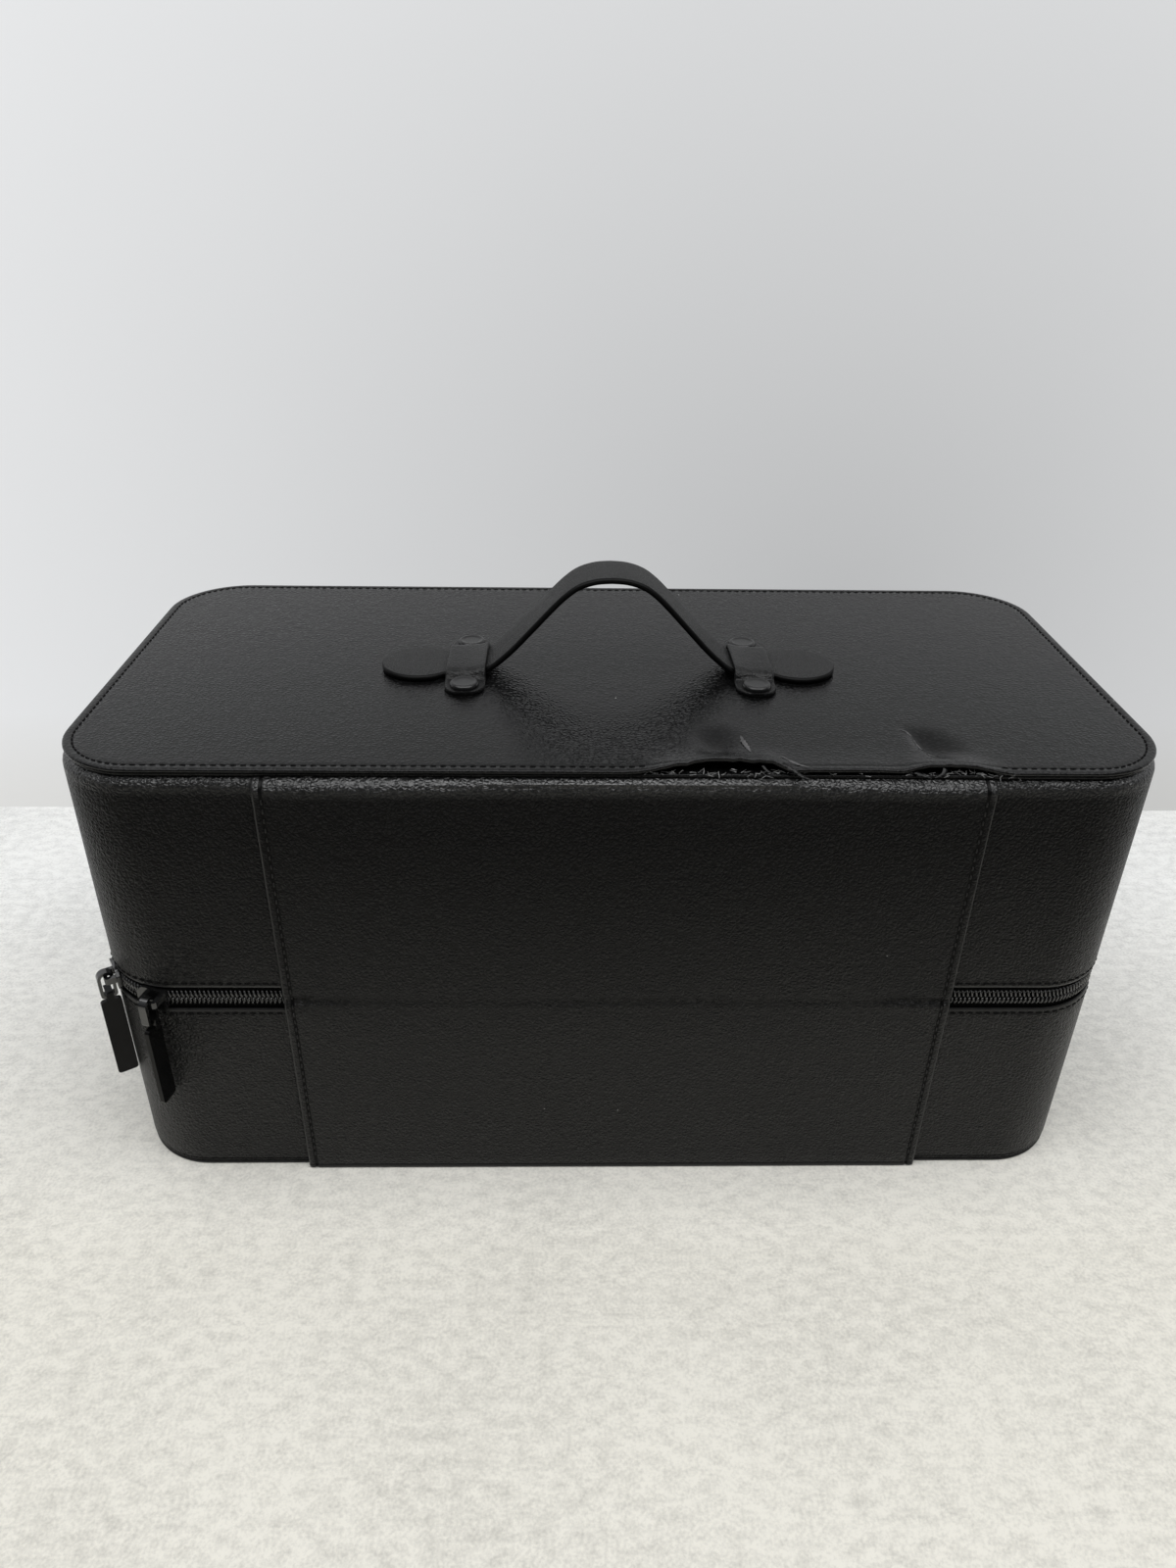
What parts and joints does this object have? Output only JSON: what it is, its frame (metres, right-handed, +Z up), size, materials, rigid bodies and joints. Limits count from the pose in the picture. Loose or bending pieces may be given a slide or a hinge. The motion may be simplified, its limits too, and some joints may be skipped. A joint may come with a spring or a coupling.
{
  "type": "makeup train case",
  "caption": "Hard-sided black makeup train case with a zipped lid on a leather hinge panel, riveted strap handle and padded dividers.",
  "frame": {"origin": "centre of the flat bottom face that the closed case rests on", "axes": "+X along the case's length, +Z up, the hinge side at -Y"},
  "size_m": [0.3524, 0.1683, 0.205],
  "materials": {
    "black_leather": "fine pebbled leather-look covering, low sheen",
    "lining_fabric": "plain woven lining",
    "padded_fabric": "brushed loop fabric over foam board",
    "elastic": "ribbed elastic webbing",
    "zip_tape": "woven tape",
    "zip_coil": "nylon coil",
    "stiff_board": "grey-brown fibre board",
    "black_metal": "glossy black plated metal"
  },
  "bodies": {
    "base": {"base_bottom_panel": "black_leather", "base_floor_board": "stiff_board", "base_floor_lining": "lining_fabric", "base_hinge_leaf": "black_leather", "base_hinge_strip": "lining_fabric", "base_wall_board": "stiff_board", "base_wall_cover": "black_leather", "base_wall_lining": "lining_fabric", "base_zip_coil": "zip_coil", "base_zip_tape": "zip_tape", "front_cross_divider_1": "padded_fabric", "front_cross_divider_2": "padded_fabric", "long_divider": "padded_fabric", "rear_cross_divider_1": "padded_fabric", "rear_cross_divider_2": "padded_fabric", "rear_cross_divider_3": "padded_fabric"},
    "lid": {"brush_board": "padded_fabric", "brush_elastic": "elastic", "handle_rivets": "black_metal", "keeper_left": "black_leather", "keeper_right": "black_leather", "lid_hinge_leaf": "black_leather", "lid_hinge_strip": "lining_fabric", "lid_top_board": "stiff_board", "lid_top_lining": "lining_fabric", "lid_top_panel": "black_leather", "lid_wall_board": "stiff_board", "lid_wall_cover": "black_leather", "lid_wall_lining": "lining_fabric", "lid_zip_coil": "zip_coil", "lid_zip_tape": "zip_tape"},
    "handle": {"handle_strap": "black_leather"},
    "bail_left": {"zip_bail_left": "black_metal"},
    "bail_right": {"zip_bail_right": "black_metal"},
    "pull_left": {"zip_pull_left": "black_metal"},
    "pull_right": {"zip_pull_right": "black_metal"},
    "slider_left": {"zip_slider_left": "black_metal"},
    "slider_right": {"zip_slider_right": "black_metal"}
  },
  "joints": [
    {"name": "lid_hinge", "type": "hinge", "parent": "base", "child": "lid", "pos_m": [0, -0.0832, 0.08], "axis": [1, 0, 0], "range_deg": [0, 135], "deforming": ["lid_zip_coil"]},
    {"name": "handle_press", "type": "slide", "parent": "lid", "child": "handle", "axis": [0, 0, 1], "range_m": [-0.026, 0], "deforming": ["handle_strap"]},
    {"name": "slider_right_run", "type": "hinge", "parent": "base", "child": "slider_right", "pos_m": [-0.147, -0.053, 0.08], "axis": [0, 0, -1], "range_deg": [-15, 6]},
    {"name": "bail_right_swing", "type": "hinge", "parent": "slider_right", "child": "bail_right", "pos_m": [-0.15523, -0.08372, 0.08], "axis": [0.9659, -0.2588, 0], "range_deg": [-150, 0]},
    {"name": "pull_right_sway", "type": "hinge", "parent": "bail_right", "child": "pull_right", "pos_m": [-0.15523, -0.08372, 0.07255], "axis": [-0.2588, -0.9659, 0], "range_deg": [-20, 20]},
    {"name": "slider_left_run", "type": "hinge", "parent": "base", "child": "slider_left", "pos_m": [-0.147, -0.053, 0.08], "axis": [0, 0, -1], "range_deg": [-6, 30]},
    {"name": "bail_left_swing", "type": "hinge", "parent": "slider_left", "child": "bail_left", "pos_m": [-0.17397, -0.06985, 0.08], "axis": [0.5299, -0.848, 0], "range_deg": [-150, 0]},
    {"name": "pull_left_sway", "type": "hinge", "parent": "bail_left", "child": "pull_left", "pos_m": [-0.17397, -0.06985, 0.07255], "axis": [-0.848, -0.5299, 0], "range_deg": [-20, 20]}
  ]
}
